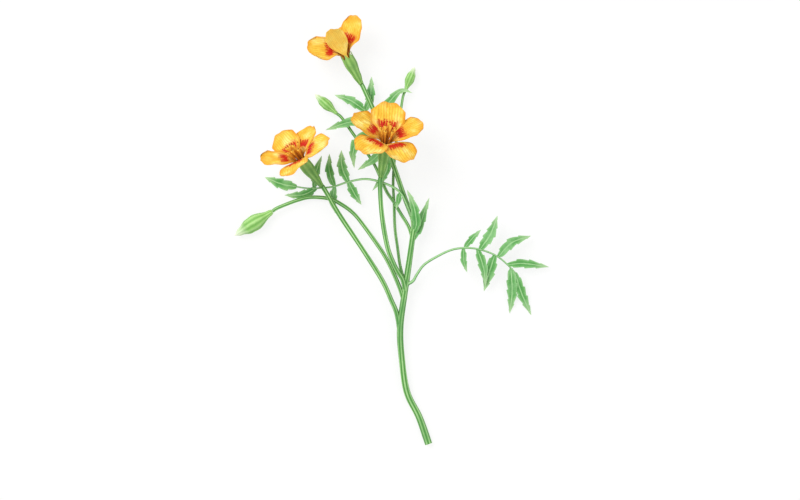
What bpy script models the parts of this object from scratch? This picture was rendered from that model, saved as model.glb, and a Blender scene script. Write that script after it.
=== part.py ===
"""A cut, branching stem of single French marigold, lying on a flat surface.

The plant is laid out in millimetres from the centre of the stem's cut end: +X across the
spray, +Y towards the flowers, +Z up from the surface it lies on. Every stalk, leaf, calyx,
floret and bud is a loft of closed rings along a smooth route. At the end the whole plant is
moved so that the middle of its footprint is the origin.
"""
import math

import bmesh
import bpy
from mathutils import Vector

for old in list(bpy.data.objects):
    bpy.data.objects.remove(old, do_unlink=True)

# ---------------------------------------------------------------- driving dimensions, mm
MM = 0.001
SEAT = 0.3                # gap kept between two pieces that touch

STEM_SIDES = 10
STALK_SIDES = 8
RACHIS_SIDES = 6

CALYX_BASE_R = 1.55
CALYX_BELLY_R = 3.75
CALYX_MOUTH_R = 3.65
CALYX_WALL = 0.5
CALYX_CUP = 4.0           # depth of the open mouth that holds the florets

CLAW_RADIUS = 2.5         # ring on which the ray florets' claws stand
CLAW_HALF_WIDTH = 0.9
RAY_THICKNESS = 0.45
RAY_CUP = 0.10            # rise of a blade's edge per mm of half width
RAY_END_TAPER = 0.35      # share of the width lost at the blunt end
RAY_CORNER = 0.13         # how far the end's corners fall back, as a share of the length

FLORET_RINGS = ((3, 0.55, 1.6, 12.0), (8, 1.55, 4.2, 10.0))  # count, foot radius, top radius, height
FLORET_FOOT_R = 0.37
RECEPTACLE_R = 2.05
FLORET_TOP_R = 0.7

LEAFLET_THICKNESS = 0.8   # at the midrib
EDGE_SHARE = 0.3          # share of that thickness left at the blade's edge
LEAFLET_FOLD = 0.12       # rise of the blade's edge per mm of half width
LEAFLET_FOOT_R = 0.5
LEAFLET_TIP_R = 0.18
NODE_LEAF_FOOT_R = 0.6
TOOTH_HOLLOW = 0.8        # width between two teeth, as a share of the width at a tooth
RACHIS_R = 0.85

GREEN_STEM = (0.19, 0.42, 0.15)
GREEN_LEAF = (0.12, 0.36, 0.15)
GREEN_BUD = (0.24, 0.50, 0.16)
ORANGE_RAY = (0.85, 0.37, 0.03)
BROWN_FLORET = (0.40, 0.13, 0.02)


# ---------------------------------------------------------------- small helpers
def material(name, colour, roughness):
    mat = bpy.data.materials.new(name)
    mat.use_nodes = True
    shader = mat.node_tree.nodes["Principled BSDF"]
    shader.inputs["Base Color"].default_value = (*colour, 1.0)
    shader.inputs["Roughness"].default_value = roughness
    shader.inputs["Metallic"].default_value = 0.0
    return mat


def smooth_route(points, step=4.0):
    """Points about step apart on a smooth curve through the given ones."""
    pts = [Vector(p) for p in points]
    pts = [2 * pts[0] - pts[1]] + pts + [2 * pts[-1] - pts[-2]]
    route = []
    for a, b, c, d in zip(pts, pts[1:], pts[2:], pts[3:]):
        pieces = max(1, round((c - b).length / step))
        for k in range(pieces):
            t = k / pieces
            route.append(0.5 * (2 * b + (c - a) * t + (2 * a - 5 * b + 4 * c - d) * t * t
                                + (3 * b - a - 3 * c + d) * t ** 3))
    route.append(pts[-2])
    return route


def distances(route):
    """Share of the route's length at each of its points, from 0 to 1."""
    along = [0.0]
    for a, b in zip(route, route[1:]):
        along.append(along[-1] + (b - a).length)
    return [s / along[-1] for s in along]


def tangents(route):
    ends = [route[0]] + route + [route[-1]]
    return [(c - a).normalized() for a, c in zip(ends, ends[2:])]


def loft(name, rings, look):
    """One closed body through the rings, its ends capped, pressed flat where it would dip
    below the surface it lies on."""
    mesh = bmesh.new()
    skins = [[mesh.verts.new((p.x * MM, p.y * MM, max(p.z, 0.0) * MM)) for p in ring]
             for ring in rings]
    n = len(skins[0])
    for low, high in zip(skins, skins[1:]):
        for i in range(n):
            mesh.faces.new((low[i], low[(i + 1) % n], high[(i + 1) % n], high[i]))
    mesh.faces.new(skins[0][::-1])
    mesh.faces.new(skins[-1])
    if mesh.calc_volume(signed=True) < 0:
        bmesh.ops.reverse_faces(mesh, faces=mesh.faces)
    data = bpy.data.meshes.new(name)
    mesh.to_mesh(data)
    mesh.free()
    data.shade_smooth()
    data.set_sharp_from_angle(angle=math.radians(50))
    data.materials.append(look)
    thing = bpy.data.objects.new(name, data)
    bpy.context.scene.collection.objects.link(thing)
    return thing


def tool(thing):
    """Marks a solid that only cuts or joins another one."""
    thing.hide_render = True
    thing.display_type = "WIRE"
    return thing


def boolean(thing, other, operation):
    mod = thing.modifiers.new(operation.lower(), "BOOLEAN")
    mod.operation = operation
    mod.solver = "EXACT"
    mod.object = tool(other)


# ---------------------------------------------------------------- stalks
def stalk_rings(route, radii, sides):
    rings = []
    for p, t, r in zip(route, tangents(route), radii):
        side = t.cross(Vector((0, 0, 1))).normalized()
        up = side.cross(t)
        rings.append([p + r * (math.cos(a) * side + math.sin(a) * up)
                      for a in (2 * math.pi * (k + 0.5) / sides for k in range(sides))])
    return rings


def radii_along(route, start, end):
    return [start + (end - start) * s for s in distances(route)]


class Stalk:
    """A tapering stalk that may spring from another one, seated in its side."""

    def __init__(self, name, points, start_r, end_r, carrier=None, sides=STALK_SIDES):
        self.route = smooth_route(points)
        self.radii = radii_along(self.route, start_r, end_r)
        self.name = name
        self.sides = sides
        self.thing = loft(name, stalk_rings(self.route, self.radii, sides), stem_look)
        if carrier:
            carrier.seat(self.thing)

    def seat(self, other):
        """Cuts the other piece back to the seat gap around this stalk."""
        wide = [r + SEAT for r in self.radii]
        ends = self.route[:]
        first, last = tangents(ends)[0], tangents(ends)[-1]
        ends[0] = ends[0] - SEAT * first
        ends[-1] = ends[-1] + SEAT * last
        clearance = loft(f"clearance_{self.name}_{other.name}",
                         stalk_rings(ends, wide, self.sides), stem_look)
        boolean(other, clearance, "DIFFERENCE")


# ---------------------------------------------------------------- leaves
def leaflet_rings(points, width, teeth, foot_r=LEAFLET_FOOT_R):
    """Lens sections along a leaflet: a narrow foot, a toothed blade and a pointed tip. There is
    a section at each tooth and at each hollow between two teeth."""
    stations = 2 * teeth + 3
    full = smooth_route(points, step=0.5)
    shares = distances(full)
    rings = []
    for k in range(stations + 1):
        u = k / stations
        spot = min(range(len(full)), key=lambda i: abs(shares[i] - u))
        p, t = full[spot], tangents(full)[spot]
        side = t.cross(Vector((0, 0, 1))).normalized()
        up = side.cross(t)
        blade = math.sin(math.pi * min(1.0, 0.06 + 0.96 * u) ** 0.85) ** 0.8 if u < 1 else 0.0
        tooth = 1.0 if k % 2 else TOOTH_HOLLOW
        half = max(0.5 * width * blade * tooth, foot_r if u < 0.2 else LEAFLET_TIP_R)
        thick = 0.5 * LEAFLET_THICKNESS * (1.0 if u < 0.9 else 0.5)
        rows = [(-1, EDGE_SHARE), (0, 1), (1, EDGE_SHARE)]
        top = [p + side * (v * half) + up * (thick * h + LEAFLET_FOLD * abs(v) * half)
               for v, h in rows]
        under = [p + side * (v * half) + up * (-thick * h + LEAFLET_FOLD * abs(v) * half)
                 for v, h in reversed(rows)]
        rings.append(top + under)
    return rings


def compound_leaf(name, rachis_points, leaflets, carrier):
    """A pinnate leaf grown as one piece: its leaflets are joined into the leaf stalk."""
    route = smooth_route(rachis_points)
    radii = radii_along(route, RACHIS_R, 0.6 * RACHIS_R)
    leaf = loft(name, stalk_rings(route, radii, RACHIS_SIDES), leaf_look)
    for k, (points, width, teeth) in enumerate(leaflets):
        blade = loft(f"blade_{name}_{k}", leaflet_rings(points, width, teeth), leaf_look)
        boolean(leaf, blade, "UNION")
    carrier.seat(leaf)


# ---------------------------------------------------------------- flower heads
class Head:
    """Axis and place of a flower head or bud: foot of its calyx, heading, lift and length."""

    def __init__(self, foot, heading, lift, length):
        self.foot = Vector(foot)
        turn, rise = math.radians(heading), math.radians(lift)
        self.axis = Vector((math.cos(turn) * math.cos(rise), math.sin(turn) * math.cos(rise),
                            math.sin(rise)))
        self.right = self.axis.cross(Vector((0, 0, 1))).normalized()
        self.up = self.right.cross(self.axis)
        self.length = length
        self.mouth = self.foot + length * self.axis

    def out(self, azimuth):
        a = math.radians(azimuth)
        return math.cos(a) * self.right + math.sin(a) * self.up

    def around(self, azimuth):
        a = math.radians(azimuth)
        return math.cos(a) * self.up - math.sin(a) * self.right

    def ring(self, height, radius, sides=12):
        return [self.foot + height * self.axis + radius * self.out(360 * k / sides)
                for k in range(sides)]

    def neck(self):
        """The last two points of the stalk that carries this head, in line with it."""
        return [self.foot - 4.0 * self.axis, self.foot - SEAT * self.axis]


def calyx(name, head):
    n = head.length
    profile = [(0, CALYX_BASE_R), (0.12 * n, 1.75), (0.30 * n, 2.6), (0.50 * n, 3.3),
               (0.70 * n, CALYX_BELLY_R), (0.88 * n, CALYX_MOUTH_R), (n, CALYX_MOUTH_R - 0.1),
               (n, CALYX_MOUTH_R - CALYX_WALL + 0.05), (n - CALYX_CUP, 3.15)]
    loft(name, [head.ring(h, r) for h, r in profile], calyx_look)


def ray(name, head, azimuth, opening, length, width):
    """A ray floret: a narrow claw in the calyx that opens into a broad, blunt blade."""
    stations = [0.0, 0.14, 0.26, 0.38, 0.5, 0.62, 0.74, 0.86, 0.95, 1.0]
    columns = [-1.0, -0.6, 0.0, 0.6, 1.0]
    sunk = CALYX_CUP - SEAT
    out, around = head.out(azimuth), head.around(azimuth)

    def place(s):
        """Radius, height and lean of the midline at distance s from the claw's foot."""
        radius, height, lean, pieces = CLAW_RADIUS, -sunk, 0.0, 24
        for k in range(pieces):
            run = s * (k + 0.5) / pieces
            free = max(0.0, (run - sunk) / length)
            lean = math.radians(opening) * min(1.0, 0.15 + 1.35 * free ** 0.7) if run > sunk else 0.0
            radius += math.sin(lean) * s / pieces
            height += math.cos(lean) * s / pieces
        return radius, height, lean

    rings = []
    for u in [0.0] + [1.0 + x for x in stations]:
        free = max(0.0, u - 1.0)
        grow = min(1.0, max(0.0, (free - 0.08) / 0.5))
        half = CLAW_HALF_WIDTH + (0.5 * width - CLAW_HALF_WIDTH) * math.sin(0.5 * math.pi * grow) ** 1.3
        half *= 1.0 - RAY_END_TAPER * max(0.0, (free - 0.8) / 0.2) ** 2
        top, under = [], []
        for v in columns:
            back = RAY_CORNER * length * v * v * free ** 3
            s = min(u, 1.0) * sunk + free * length - back
            radius, height, lean = place(s)
            flat = math.cos(lean) * -out + math.sin(lean) * head.axis
            middle = (head.mouth + height * head.axis + radius * out + v * half * around
                      + RAY_CUP * half * v * v * free * flat)
            top.append(middle + 0.5 * RAY_THICKNESS * flat)
            under.append(middle - 0.5 * RAY_THICKNESS * flat)
        rings.append(top + under[::-1])
    loft(name, rings, ray_look)


def disc_florets(name, head):
    """The slender central florets, grown together from one receptacle down in the calyx."""
    floor = head.length - CALYX_CUP + SEAT
    receptacle = loft(name, [head.ring(floor, RECEPTACLE_R), head.ring(floor + 1.0, RECEPTACLE_R)],
                      floret_look)
    for count, foot, top, height in FLORET_RINGS:
        for k in range(count):
            out = head.out(360 * (k + 0.25) / count)
            start = head.foot + (floor + 0.5) * head.axis + foot * out
            mouth = head.mouth + foot * out
            end = head.mouth + height * head.axis + top * out
            rings = []
            for p, r in ((start, FLORET_FOOT_R), (mouth, FLORET_FOOT_R),
                         (mouth.lerp(end, 0.75), FLORET_FOOT_R), (end, FLORET_TOP_R)):
                rings.append([p + r * head.out(72 * j) for j in range(5)])
            boolean(receptacle, loft(f"{name}_{foot}_{k}", rings, floret_look), "UNION")


def bud(name, head, radius):
    profile = [(0.0, 0.30), (0.06, 0.42), (0.18, 0.72), (0.32, 0.93), (0.48, 1.0), (0.62, 0.92),
               (0.76, 0.70), (0.88, 0.42), (0.96, 0.20), (1.0, 0.08)]
    loft(name, [head.ring(u * head.length, r * radius) for u, r in profile], bud_look)


# ---------------------------------------------------------------- looks
stem_look = material("stem_green", GREEN_STEM, 0.5)
leaf_look = material("leaf_green", GREEN_LEAF, 0.5)
calyx_look = material("calyx_green", GREEN_STEM, 0.45)
bud_look = material("bud_green", GREEN_BUD, 0.45)
ray_look = material("ray_orange", ORANGE_RAY, 0.6)
floret_look = material("floret_brown", BROWN_FLORET, 0.7)

# ---------------------------------------------------------------- heads and buds
middle = Head(foot=(-27.5, 154.5, 14.5), heading=81, lift=33, length=22)
left = Head(foot=(-62, 149.5, 8.6), heading=127.5, lift=33, length=21)
upper = Head(foot=(-39, 208, 10.45), heading=118, lift=12, length=18)
low_bud = Head(foot=(-90.5, 134.5, 4.6), heading=212.5, lift=-2, length=26)
side_bud = Head(foot=(-53, 191, 5.6), heading=138.5, lift=-8, length=17.5)
top_bud = Head(foot=(-13.5, 204.5, 3.6), heading=68.5, lift=-2, length=15)

# azimuth around the axis (0 right, 90 up), opening from the axis, length, width
HEAD_RAYS = {
    "middle": (middle, [(193, 68, 24, 18), (-96, 53, 23.6, 15.4), (-18, 62, 23, 16),
                        (51, 92, 22, 17), (126, 84, 22, 17)]),
    "left": (left, [(188, 57, 23, 14), (-96, 65, 22, 13), (-40, 84, 21, 13),
                    (32, 86, 22, 17), (114, 70, 22, 18)]),
    "upper": (upper, [(4, 50, 23, 14), (79, 24, 23, 13), (152, 48, 23, 16),
                      (-142, 74, 21, 14), (-74, 58, 22, 13)]),
}
for where, (head, rays) in HEAD_RAYS.items():
    calyx(f"calyx_{where}", head)
    disc_florets(f"disc_florets_{where}", head)
    for number, shape in enumerate(rays, 1):
        ray(f"ray_{where}_{number}", head, *shape)

bud("bud_low", low_bud, 4.5)
bud("bud_side", side_bud, 2.9)
bud("bud_top", top_bud, 2.6)

# ---------------------------------------------------------------- main stem and its branches
main = Stalk("main_stem", [(0, 0, 1.95), (-5.5, 15.5, 2.1), (-12.5, 30, 2.6), (-15.5, 49, 3.6),
                           (-16.5, 67, 5), (-14, 87, 6.5), (-11, 107.5, 7.3), (-8.5, 126, 7.5)],
             2.0, 1.6, sides=STEM_SIDES)

Stalk("flower_stalk_left",
      [(-16.5, 64, 4.8), (-18.5, 75.5, 6), (-21.5, 83, 6.6), (-27, 95, 7),
       (-38, 112.5, 7), (-51.5, 132.5, 6.8), *left.neck()],
      1.35, 1.3, main)
Stalk("flower_stalk_middle",
      [(-13.6, 89, 6.6), (-15, 95, 8.4), (-18, 100, 10.2), (-20.5, 105, 11),
       (-23.5, 113, 11.6), (-26, 125.5, 12), (-27.5, 138.5, 12), *middle.neck()],
      1.35, 1.3, main)
stalk_upper = Stalk("flower_stalk_upper",
                    [(-8.7, 124.5, 7.5), (-9.1, 129.5, 7.4), (-11, 135, 7), (-13.7, 142, 6.5),
                     (-20.5, 161.5, 6.2), (-24.5, 172.5, 6.6), (-29.5, 187.5, 8.2),
                     *upper.neck()],
                    1.4, 1.3, main)
Stalk("bud_stalk_low",
      [(-14.3, 83, 6.2), (-17.2, 91.5, 6.2), (-20.6, 99.5, 6.4), (-23.8, 106, 6.2),
       (-28, 113, 5.8), (-38, 127, 4.2), (-44, 134, 3.5), (-51, 139, 3.2),
       (-57.5, 142, 3.1), (-68, 142.8, 3.3), (-76, 141, 3.8), *low_bud.neck()],
      1.2, 1.0, main)
Stalk("bud_stalk_top",
      [(-13.1, 93, 6.8), (-15.2, 98, 5.2), (-16.8, 104.5, 4), (-18, 113.5, 3.2),
       (-19.5, 125, 2.7), (-20, 139.5, 2.5), (-20.5, 153, 2.4),
       (-19, 173, 2.6), (-16.5, 191, 3.2), *top_bud.neck()],
      0.85, 0.75, main)
Stalk("bud_stalk_side",
      [(-9.4, 119, 7.4), (-11.8, 126, 6.9), (-16, 133, 6), (-20.2, 140, 5.4),
       (-24, 145.5, 4.8), (-27, 152, 4.3), (-31, 161, 4.1),
       (-37, 170.5, 4.6), (-43, 178.5, 5.4), *side_bud.neck()],
      0.95, 0.85, main)

# ---------------------------------------------------------------- leaves
# each leaflet: points from the leaf stalk to its tip, width, teeth on each edge
compound_leaf("leaf_right",
              [(-12.5, 92.5, 6.9), (-9, 94.5, 7.6), (-7, 98, 8.2), (-2.5, 104, 9), (6.5, 109.5, 10),
               (13.5, 112.5, 10.4), (20.5, 113.5, 10.4), (27.5, 113, 9.8), (34.5, 111, 8.6),
               (40.5, 108, 7.2), (46, 103.3, 5.6), (50.2, 99, 4.4)],
              [([(20.5, 113.5, 10.4), (25, 119, 10.8), (30, 124, 10.6)], 3.5, 2),
               ([(29.5, 112.7, 9.5), (35.5, 121.5, 10), (39.5, 132, 8.5)], 5.5, 4),
               ([(40, 108.4, 7.3), (48, 116.5, 7.6), (59, 120.5, 5.5)], 5.0, 3),
               ([(45.5, 103.8, 5.8), (55, 104.5, 5.8), (69.5, 102.5, 3.5)], 4.5, 3),
               ([(50, 99.2, 4.4), (53.5, 88, 2.6), (59.5, 74.5, 0.25)], 5.0, 4),
               ([(47.5, 101.8, 5), (48.3, 88, 2.8), (47, 75.5, 0.25)], 5.5, 4),
               ([(38, 109.3, 7.8), (34.5, 98, 6), (32, 88.5, 3.8)], 5.5, 3),
               ([(28, 112.9, 9.6), (31.5, 102, 8.2), (32.8, 92, 6)], 4.5, 3),
               ([(20, 113.5, 10.4), (20.2, 106, 9.4), (22, 99.5, 8)], 3.2, 2)],
              main)
compound_leaf("leaf_left",
              [(-10, 132, 7.3), (-12, 137, 9.6), (-14, 141.5, 10), (-16.5, 145.5, 9.9),
               (-21.5, 149, 9.8), (-29.5, 152, 9.4), (-37.5, 153.2, 8), (-47, 151.5, 5.2),
               (-55, 149, 2.4), (-62, 148.3, 1.1), (-69.5, 148, 0.8), (-77, 149, 0.7)],
              [([(-76.5, 149, 0.7), (-85, 150.5, 0.6), (-95, 154.5, 0.5)], 5.5, 3),
               ([(-46.5, 151.6, 5.3), (-50, 160, 5.2), (-50.5, 170, 4)], 5.0, 3),
               ([(-54.5, 149, 2.5), (-57.5, 158, 2.2), (-57.5, 168, 1.4)], 4.0, 2),
               ([(-66.5, 148, 0.8), (-65, 158, 0.7), (-62, 167, 0.5)], 4.0, 2),
               ([(-65, 148.1, 0.8), (-73, 144.3, 0.6), (-83.5, 144, 0.4)], 4.5, 3),
               ([(-54.5, 149, 2.4), (-55.5, 141, 0.9), (-54, 133.5, 0.5)], 4.0, 2),
               ([(-46.5, 151.7, 5.3), (-43, 145, 4.8), (-39, 138.5, 3.6)], 4.5, 3),
               ([(-16.6, 145.6, 9.9), (-17.6, 140.5, 9.6), (-18.8, 136, 9)], 3.0, 1)],
              stalk_upper)
compound_leaf("leaf_upper",
              [(-22.3, 166.5, 6.4), (-24.2, 170.5, 9), (-26.5, 174.5, 9.4), (-29.8, 179.5, 9),
               (-34.2, 187, 7.4), (-37, 193.5, 6.2)],
              [([(-36.6, 192.6, 6.3), (-33.8, 200, 5.6), (-33, 212.5, 4.4)], 4.5, 3),
               ([(-33, 184.9, 7.8), (-27, 193, 5.6), (-16.5, 204, 6.2), (-9.5, 203, 6.8)], 4.5, 3),
               ([(-36.6, 192.6, 6.3), (-45, 198.5, 5.4), (-54.5, 202, 4)], 4.5, 3),
               ([(-33.4, 185.6, 7.7), (-45.5, 186, 8.2), (-59.5, 181.5, 7)], 4.5, 3),
               ([(-29.8, 179.5, 9), (-39.5, 176.5, 8.8), (-43.5, 169, 8.2), (-43, 159.5, 7)], 5.0, 4),
               ([(-25, 172, 9.2), (-32, 164.5, 8.4), (-41, 158.5, 7)], 4.0, 2),
               ([(-24.2, 170.5, 9), (-24.4, 158, 7.6), (-32.5, 146.5, 6.6)], 4.0, 3)],
              stalk_upper)


def node_leaf(name, points, width, teeth):
    blade = loft(name, leaflet_rings(points, width, teeth, NODE_LEAF_FOOT_R), leaf_look)
    main.seat(blade)


node_leaf("leaf_node_broad", [(-8.9, 122, 7.5), (-7.2, 127.5, 11), (-8.6, 137, 13.4),
                              (-12.5, 147, 13.6)], 4.5, 3)
node_leaf("leaf_node_toothed", [(-9.4, 117.5, 7.4), (-5.4, 125.5, 8), (-3.2, 132.5, 8.4),
                                (0.3, 142.5, 8)], 4.0, 3)

# ---------------------------------------------------------------- footprint centred on the origin
bpy.context.view_layer.update()
solids = [o for o in bpy.context.scene.objects if not o.hide_render]
corners = [o.matrix_world @ Vector(c) for o in solids for c in o.bound_box]
low = Vector([min(c[i] for c in corners) for i in range(3)])
high = Vector([max(c[i] for c in corners) for i in range(3)])
middle_of_footprint = Vector(((low.x + high.x) / 2, (low.y + high.y) / 2, low.z))
for thing in bpy.context.scene.objects:
    thing.location -= middle_of_footprint
print("size in mm", [round(1000 * s, 1) for s in high - low],
      "cut end at", [round(-1000 * s, 2) for s in middle_of_footprint])
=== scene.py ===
# %% [markdown]
# # A cut stem of French marigold
# The real thing is one branching stem of single French marigold, cut and laid on a table. It
# carries three open flower heads, three buds, long feathery leaves and a few small ones. We are
# looking straight down on it. The frame holds the plain solids at their true places. Here each
# of them is replaced by a finely modelled piece in the same place.

# %% Load the frame
import math
import random

import bpy
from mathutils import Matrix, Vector, noise


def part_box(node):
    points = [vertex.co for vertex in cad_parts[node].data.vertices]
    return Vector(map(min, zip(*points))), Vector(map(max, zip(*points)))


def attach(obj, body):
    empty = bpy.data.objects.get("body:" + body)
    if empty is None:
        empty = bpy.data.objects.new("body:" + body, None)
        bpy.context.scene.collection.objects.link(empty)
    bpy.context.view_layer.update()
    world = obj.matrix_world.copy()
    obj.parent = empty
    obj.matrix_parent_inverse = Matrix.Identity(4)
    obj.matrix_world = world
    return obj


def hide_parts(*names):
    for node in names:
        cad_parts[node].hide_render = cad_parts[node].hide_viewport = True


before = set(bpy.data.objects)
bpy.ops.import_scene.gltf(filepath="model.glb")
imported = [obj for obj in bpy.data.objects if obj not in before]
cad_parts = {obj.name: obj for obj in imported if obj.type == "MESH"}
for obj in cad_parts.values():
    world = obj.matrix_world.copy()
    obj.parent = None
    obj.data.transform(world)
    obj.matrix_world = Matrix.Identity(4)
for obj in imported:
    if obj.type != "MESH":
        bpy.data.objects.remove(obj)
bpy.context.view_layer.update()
print("frame nodes:", len(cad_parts))

# %% [markdown]
# ## Curves through a few points
# Places are written in millimetres from the centre of the cut end, as a grower would measure
# along the stem. A plant part could be drawn as a Blender curve with a bevel. Here it is a row of
# rings along a smooth route instead, because each ring can then have its own ribs or teeth.

# %% Smooth routes and rings
MM = 0.001


def smooth_route(points, step=4.0):
    """Points about step apart on a smooth curve through the given ones."""
    pts = [Vector(p) for p in points]
    pts = [2 * pts[0] - pts[1]] + pts + [2 * pts[-1] - pts[-2]]
    route = []
    for a, b, c, d in zip(pts, pts[1:], pts[2:], pts[3:]):
        pieces = max(1, round((c - b).length / step))
        for k in range(pieces):
            t = k / pieces
            route.append(0.5 * (2 * b + (c - a) * t + (2 * a - 5 * b + 4 * c - d) * t * t
                                + (3 * b - a - 3 * c + d) * t ** 3))
    route.append(pts[-2])
    return route


def lengths(route):
    along = [0.0]
    for a, b in zip(route, route[1:]):
        along.append(along[-1] + (b - a).length)
    return along


def frames(route):
    """Place, side and up at each point of a route."""
    ends = [route[0]] + route + [route[-1]]
    result = []
    for before, here, after in zip(ends, route, ends[2:]):
        ahead = (after - before).normalized()
        side = ahead.cross(Vector((0, 0, 1))).normalized()
        result.append((here, side, side.cross(ahead)))
    return result


def tube_rings(route, radii, sides):
    rings = []
    for (p, side, up), r in zip(frames(route), radii):
        turns = [2 * math.pi * (k + 0.5) / sides for k in range(sides)]
        rings.append([p + r * (math.cos(a) * side + math.sin(a) * up) for a in turns])
    return rings


print("points on a bend of 20 mm:", len(smooth_route([(0, 0, 0), (3, 10, 0), (0, 20, 0)])))

# %% [markdown]
# ## Where the stem lies
# The plain solid of the main stem was lofted through ten-sided rings along this same route. The
# middle of its box in the frame, less the middle of those rings, is the place of the cut end.

# %% Find the cut end in the frame
STEM = [(0, 0, 1.95), (-5.5, 15.5, 2.1), (-12.5, 30, 2.6), (-15.5, 49, 3.6), (-16.5, 67, 5),
        (-14, 87, 6.5), (-11, 107.5, 7.3), (-8.5, 126, 7.5)]
STEM_R = (2.0, 1.6)                # radius at the cut end and at the top node
SOLID_SIDES = 10                   # sides of the plain solid's rings


def tapered(run, start_r, end_r):
    """Radius at each distance of run."""
    return [start_r + (end_r - start_r) * s / run[-1] for s in run]


solid_route = smooth_route(STEM)
solid_radii = tapered(lengths(solid_route), *STEM_R)
solid_points = sum(tube_rings(solid_route, solid_radii, SOLID_SIDES), [])
low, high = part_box("main_stem")
CUT_END = Vector([(low[i] + high[i]) / 2
                  - MM * (min(p[i] for p in solid_points) + max(p[i] for p in solid_points)) / 2
                  for i in range(3)])
CUT_END.z = 0.0
print("cut end lies at", [round(1000 * c, 1) for c in CUT_END], "mm")

# %% [markdown]
# ## Colours and finishes
# Plant tissue is a soft, slightly waxy solid with an IOR near 1.4. Petals are matte because
# their surface cells are tiny cones; stems and leaves have a thin wax, so they are a little
# glossier. Colours are written as sRGB hex values. One function turns them to linear, and one
# adds a node with its settings and links.

# %% Colour and node helpers
TISSUE_IOR = 1.4                   # wet plant cells
TISSUE_SPECULAR = 0.35


def linear(hex_colour):
    parts = [int(hex_colour[i:i + 2], 16) / 255 for i in (1, 3, 5)]
    return (*[c / 12.92 if c <= 0.04045 else ((c + 0.055) / 1.055) ** 2.4 for c in parts], 1.0)


def add_node(tree, kind, inputs=None, stops=None, **settings):
    """Adds a node. An input given as a socket is linked, and any other is set."""
    made = tree.nodes.new("ShaderNode" + kind)
    for key, value in settings.items():
        setattr(made, key, value)
    for key, value in (inputs or {}).items():
        if isinstance(value, bpy.types.NodeSocket):
            tree.links.new(value, made.inputs[key])
        else:
            made.inputs[key].default_value = value
    for k, (place, colour) in enumerate(stops or []):
        ramp = made.color_ramp
        point = ramp.elements[k] if k < 2 else ramp.elements.new(place)
        point.position = place
        point.color = linear(colour)
    return made


def start_material(name, roughness):
    """A Principled shader for a plant tissue, its uniform values set on its own sockets."""
    made = bpy.data.materials.new(name)
    made.use_nodes = True
    shader = made.node_tree.nodes["Principled BSDF"]
    shader.inputs["Roughness"].default_value = roughness
    shader.inputs["IOR"].default_value = TISSUE_IOR
    shader.inputs["Specular IOR Level"].default_value = TISSUE_SPECULAR
    return made, made.node_tree, shader


print("mid grey #808080 is", round(linear("#808080")[0], 3), "in linear light")


# %% [markdown]
# ### Ray florets (the petals)
# Single French marigold petals are golden yellow with a deeper orange rim. Fine veins fan out
# from the claw, less than 2 mm apart at the widest place, and a mahogany-red blotch breaks up into
# streaks along them. The blade's own `along` and `across` shares are stored on the mesh, so the
# pattern grows with the petal. Its underside is paler and carries no blotch.

# %% Petal tissue: where the veins run
VEIN_PHASE = 38.0                  # radians of vein wave from the midline to the edge
VEIN_WANDER = 11.0                 # radians by which the veins stray
CLOUD_PER_MM, FLECK_PER_MM = 0.17, 0.9     # clouds 6 mm across, flecks 1 mm

# matte: the cone-shaped cells of the surface scatter the light, so no gloss shows
petal, tree, shader = start_material("petal_tissue_matte", 0.62)
along = add_node(tree, "Attribute", attribute_name="along").outputs["Fac"]
across = add_node(tree, "Attribute", attribute_name="across").outputs["Fac"]
under = add_node(tree, "Attribute", attribute_name="under").outputs["Fac"]
where = add_node(tree, "TexCoord").outputs["Object"]
cloud = add_node(tree, "TexNoise", {"Vector": where, "Scale": CLOUD_PER_MM / MM,
                                    "Detail": 3.0}).outputs["Fac"]
fine = add_node(tree, "TexNoise", {"Vector": where, "Scale": FLECK_PER_MM / MM,
                                   "Detail": 2.0}).outputs["Fac"]
wander = add_node(tree, "Math", {0: cloud, 1: VEIN_WANDER}, operation="MULTIPLY").outputs[0]
phase = add_node(tree, "Math", {0: across, 1: VEIN_PHASE, 2: wander},
                 operation="MULTIPLY_ADD").outputs[0]
wave = add_node(tree, "Math", {0: phase}, operation="SINE").outputs[0]
vein = add_node(tree, "MapRange", {"Value": wave, "From Min": 0.35, "From Max": 1.0}).outputs[0]
print("veins across a petal:", round(VEIN_PHASE / math.pi))

# %% [markdown]
# Now the colours, laid over each other as a painter would: cloudy gold, darker veins, and a deep
# orange rim that is strongest at the tip.

# %% Petal tissue: gold, veins and rim
VEIN_DEPTH = 0.5

gold = add_node(tree, "ValToRGB", {"Fac": cloud},
                stops=[(0.34, "#edb634"), (0.68, "#fae582"), (0.5, "#f4cb4a")]).outputs["Color"]
deep = add_node(tree, "Math", {0: vein, 1: VEIN_DEPTH}, operation="MULTIPLY").outputs[0]
veined = add_node(tree, "Mix", {0: deep, 6: gold, 7: linear("#cf8210")}, data_type="RGBA").outputs[2]
width = add_node(tree, "Math", {0: across}, operation="ABSOLUTE").outputs[0]
rim = add_node(tree, "MapRange", {"Value": width, "From Min": 0.74, "From Max": 1.0,
                                  "To Max": 0.8}).outputs[0]
tip = add_node(tree, "MapRange", {"Value": along, "From Min": 0.84, "From Max": 1.0,
                                  "To Max": 0.7}).outputs[0]
edge = add_node(tree, "Math", {0: rim, 1: tip}, operation="MAXIMUM").outputs[0]
rimmed = add_node(tree, "Mix", {0: edge, 6: veined, 7: linear("#de8a0c")}, data_type="RGBA").outputs[2]
print("colour layers so far: gold, veins, rim")

# %% [markdown]
# The throat of the petal is brownish. The red blotch has an inner and an outer end, and both are
# shifted a little by the veins and by fine flecks, which makes it end in streaks.

# %% Petal tissue: throat and blotch
BLOTCH_START, BLOTCH_END = 0.36, 0.58  # shares of the petal's length, flecks included
VEIN_SHIFT, FLECK_SHIFT = 0.09, 0.20   # shift of the blotch's ends

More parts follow.
